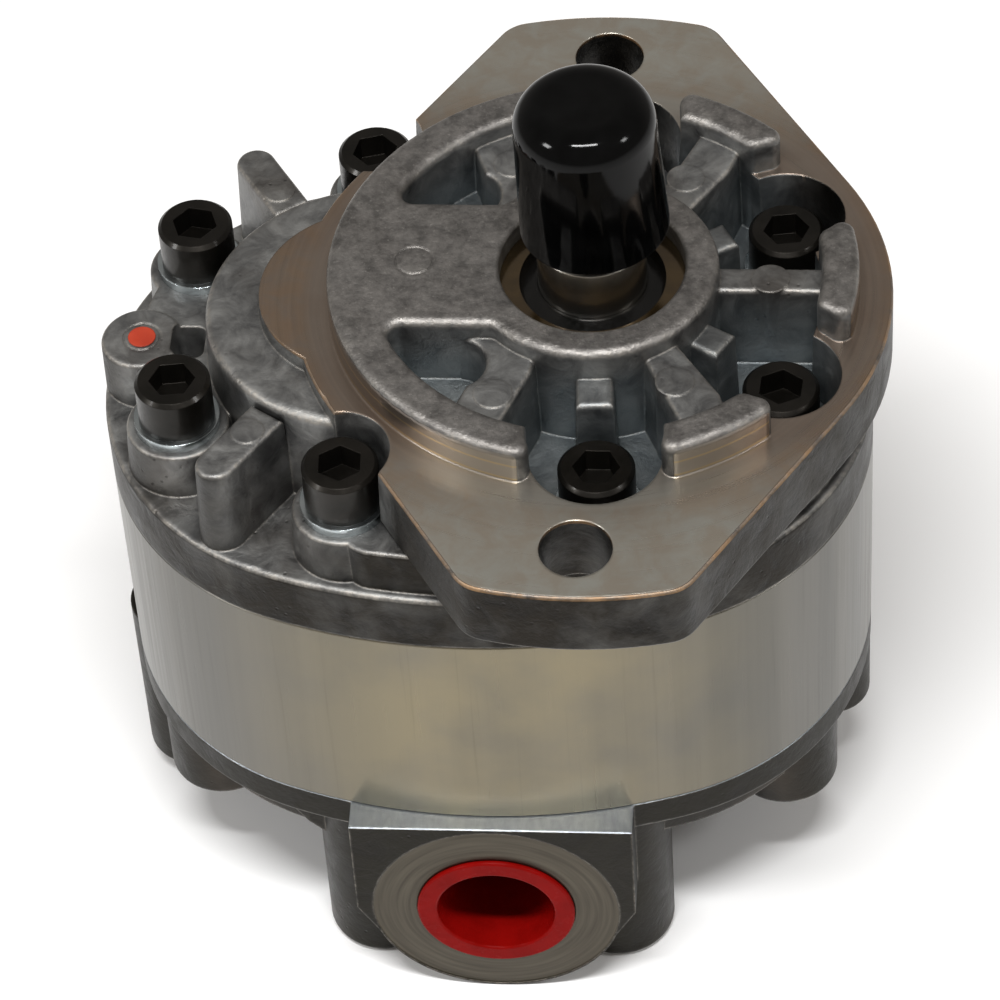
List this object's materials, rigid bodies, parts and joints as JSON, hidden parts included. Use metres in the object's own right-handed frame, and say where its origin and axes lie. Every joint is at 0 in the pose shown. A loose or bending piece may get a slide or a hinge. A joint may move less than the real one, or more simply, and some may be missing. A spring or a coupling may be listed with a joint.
{
  "type": "hydraulic gear pump",
  "caption": "External gear pump with an SAE A two-bolt flange, oval aluminium body, capped splined drive shaft, coupled gears and plugged side ports.",
  "frame": {"origin": "centre of the mounting flange's face, on the drive shaft's axis", "axes": "+Z out along the drive shaft; the two flange holes lie on Y; the idler gear is on -X; the inlet port faces -Y"},
  "size_m": [0.1269, 0.126, 0.1556],
  "materials": {
    "cast_aluminium_cover": "die cast, flange face machined",
    "extruded_aluminium": "satin, faint axial lines",
    "cast_aluminium_rear": "die cast, port faces milled",
    "black_oxide_screw": "black oxide, lightly oiled",
    "zinc_washer": "bright zinc plate",
    "dowel_steel": "ground",
    "bushing_bronze": "bored",
    "plate_bronze": "lapped",
    "nitrile_rubber": "moulded",
    "seal_case_steel": "pressed, oily",
    "spring_steel": "coiled",
    "shaft_steel": "ground, oily",
    "gear_steel": "ground",
    "black_vinyl": "glossy dipped vinyl",
    "red_plug_plastic": "glossy moulded",
    "orange_paint": "daub of paint"
  },
  "bodies": {
    "housing": {"front_cover": "cast_aluminium_cover", "center_section": "extruded_aluminium", "rear_cover": "cast_aluminium_rear", "cover_screws": "black_oxide_screw", "screw_washers": "zinc_washer", "dowel_pins": "dowel_steel", "front_drive_bushing": "bushing_bronze", "front_idler_bushing": "bushing_bronze", "rear_drive_bushing": "bushing_bronze", "rear_idler_bushing": "bushing_bronze", "front_wear_plate": "plate_bronze", "rear_wear_plate": "plate_bronze", "front_plate_seal": "nitrile_rubber", "rear_plate_seal": "nitrile_rubber", "front_body_seal": "nitrile_rubber", "rear_body_seal": "nitrile_rubber", "shaft_seal_case": "seal_case_steel", "shaft_seal_lip": "nitrile_rubber", "shaft_seal_spring": "spring_steel", "paint_dot": "orange_paint"},
    "drive": {"drive_shaft": "shaft_steel", "drive_gear": "gear_steel", "drive_gear_key": "dowel_steel"},
    "idler": {"idler_shaft": "gear_steel", "idler_gear": "gear_steel"},
    "cap": {"shaft_cap": "black_vinyl"},
    "inlet_plug_body": {"inlet_plug": "red_plug_plastic"},
    "outlet_plug_body": {"outlet_plug": "red_plug_plastic"}
  },
  "joints": [
    {"name": "drive_spin", "type": "hinge", "parent": "housing", "child": "drive", "pos_m": [0, 0, 0], "axis": [0, 0, 1], "continuous": true},
    {"name": "idler_spin", "type": "hinge", "parent": "housing", "child": "idler", "pos_m": [-0.035, 0, -0.05], "axis": [0, 0, 1], "continuous": true},
    {"name": "cap_pull", "type": "slide", "parent": "drive", "child": "cap", "axis": [0, 0, 1], "range_m": [0, 0.03]},
    {"name": "inlet_plug_pull", "type": "slide", "parent": "housing", "child": "inlet_plug_body", "axis": [0, -1, 0], "range_m": [0, 0.025]},
    {"name": "outlet_plug_pull", "type": "slide", "parent": "housing", "child": "outlet_plug_body", "axis": [0, 1, 0], "range_m": [0, 0.025]}
  ],
  "couplings": [
    {"joint": "idler_spin", "follows": "drive_spin", "ratio": -1}
  ]
}
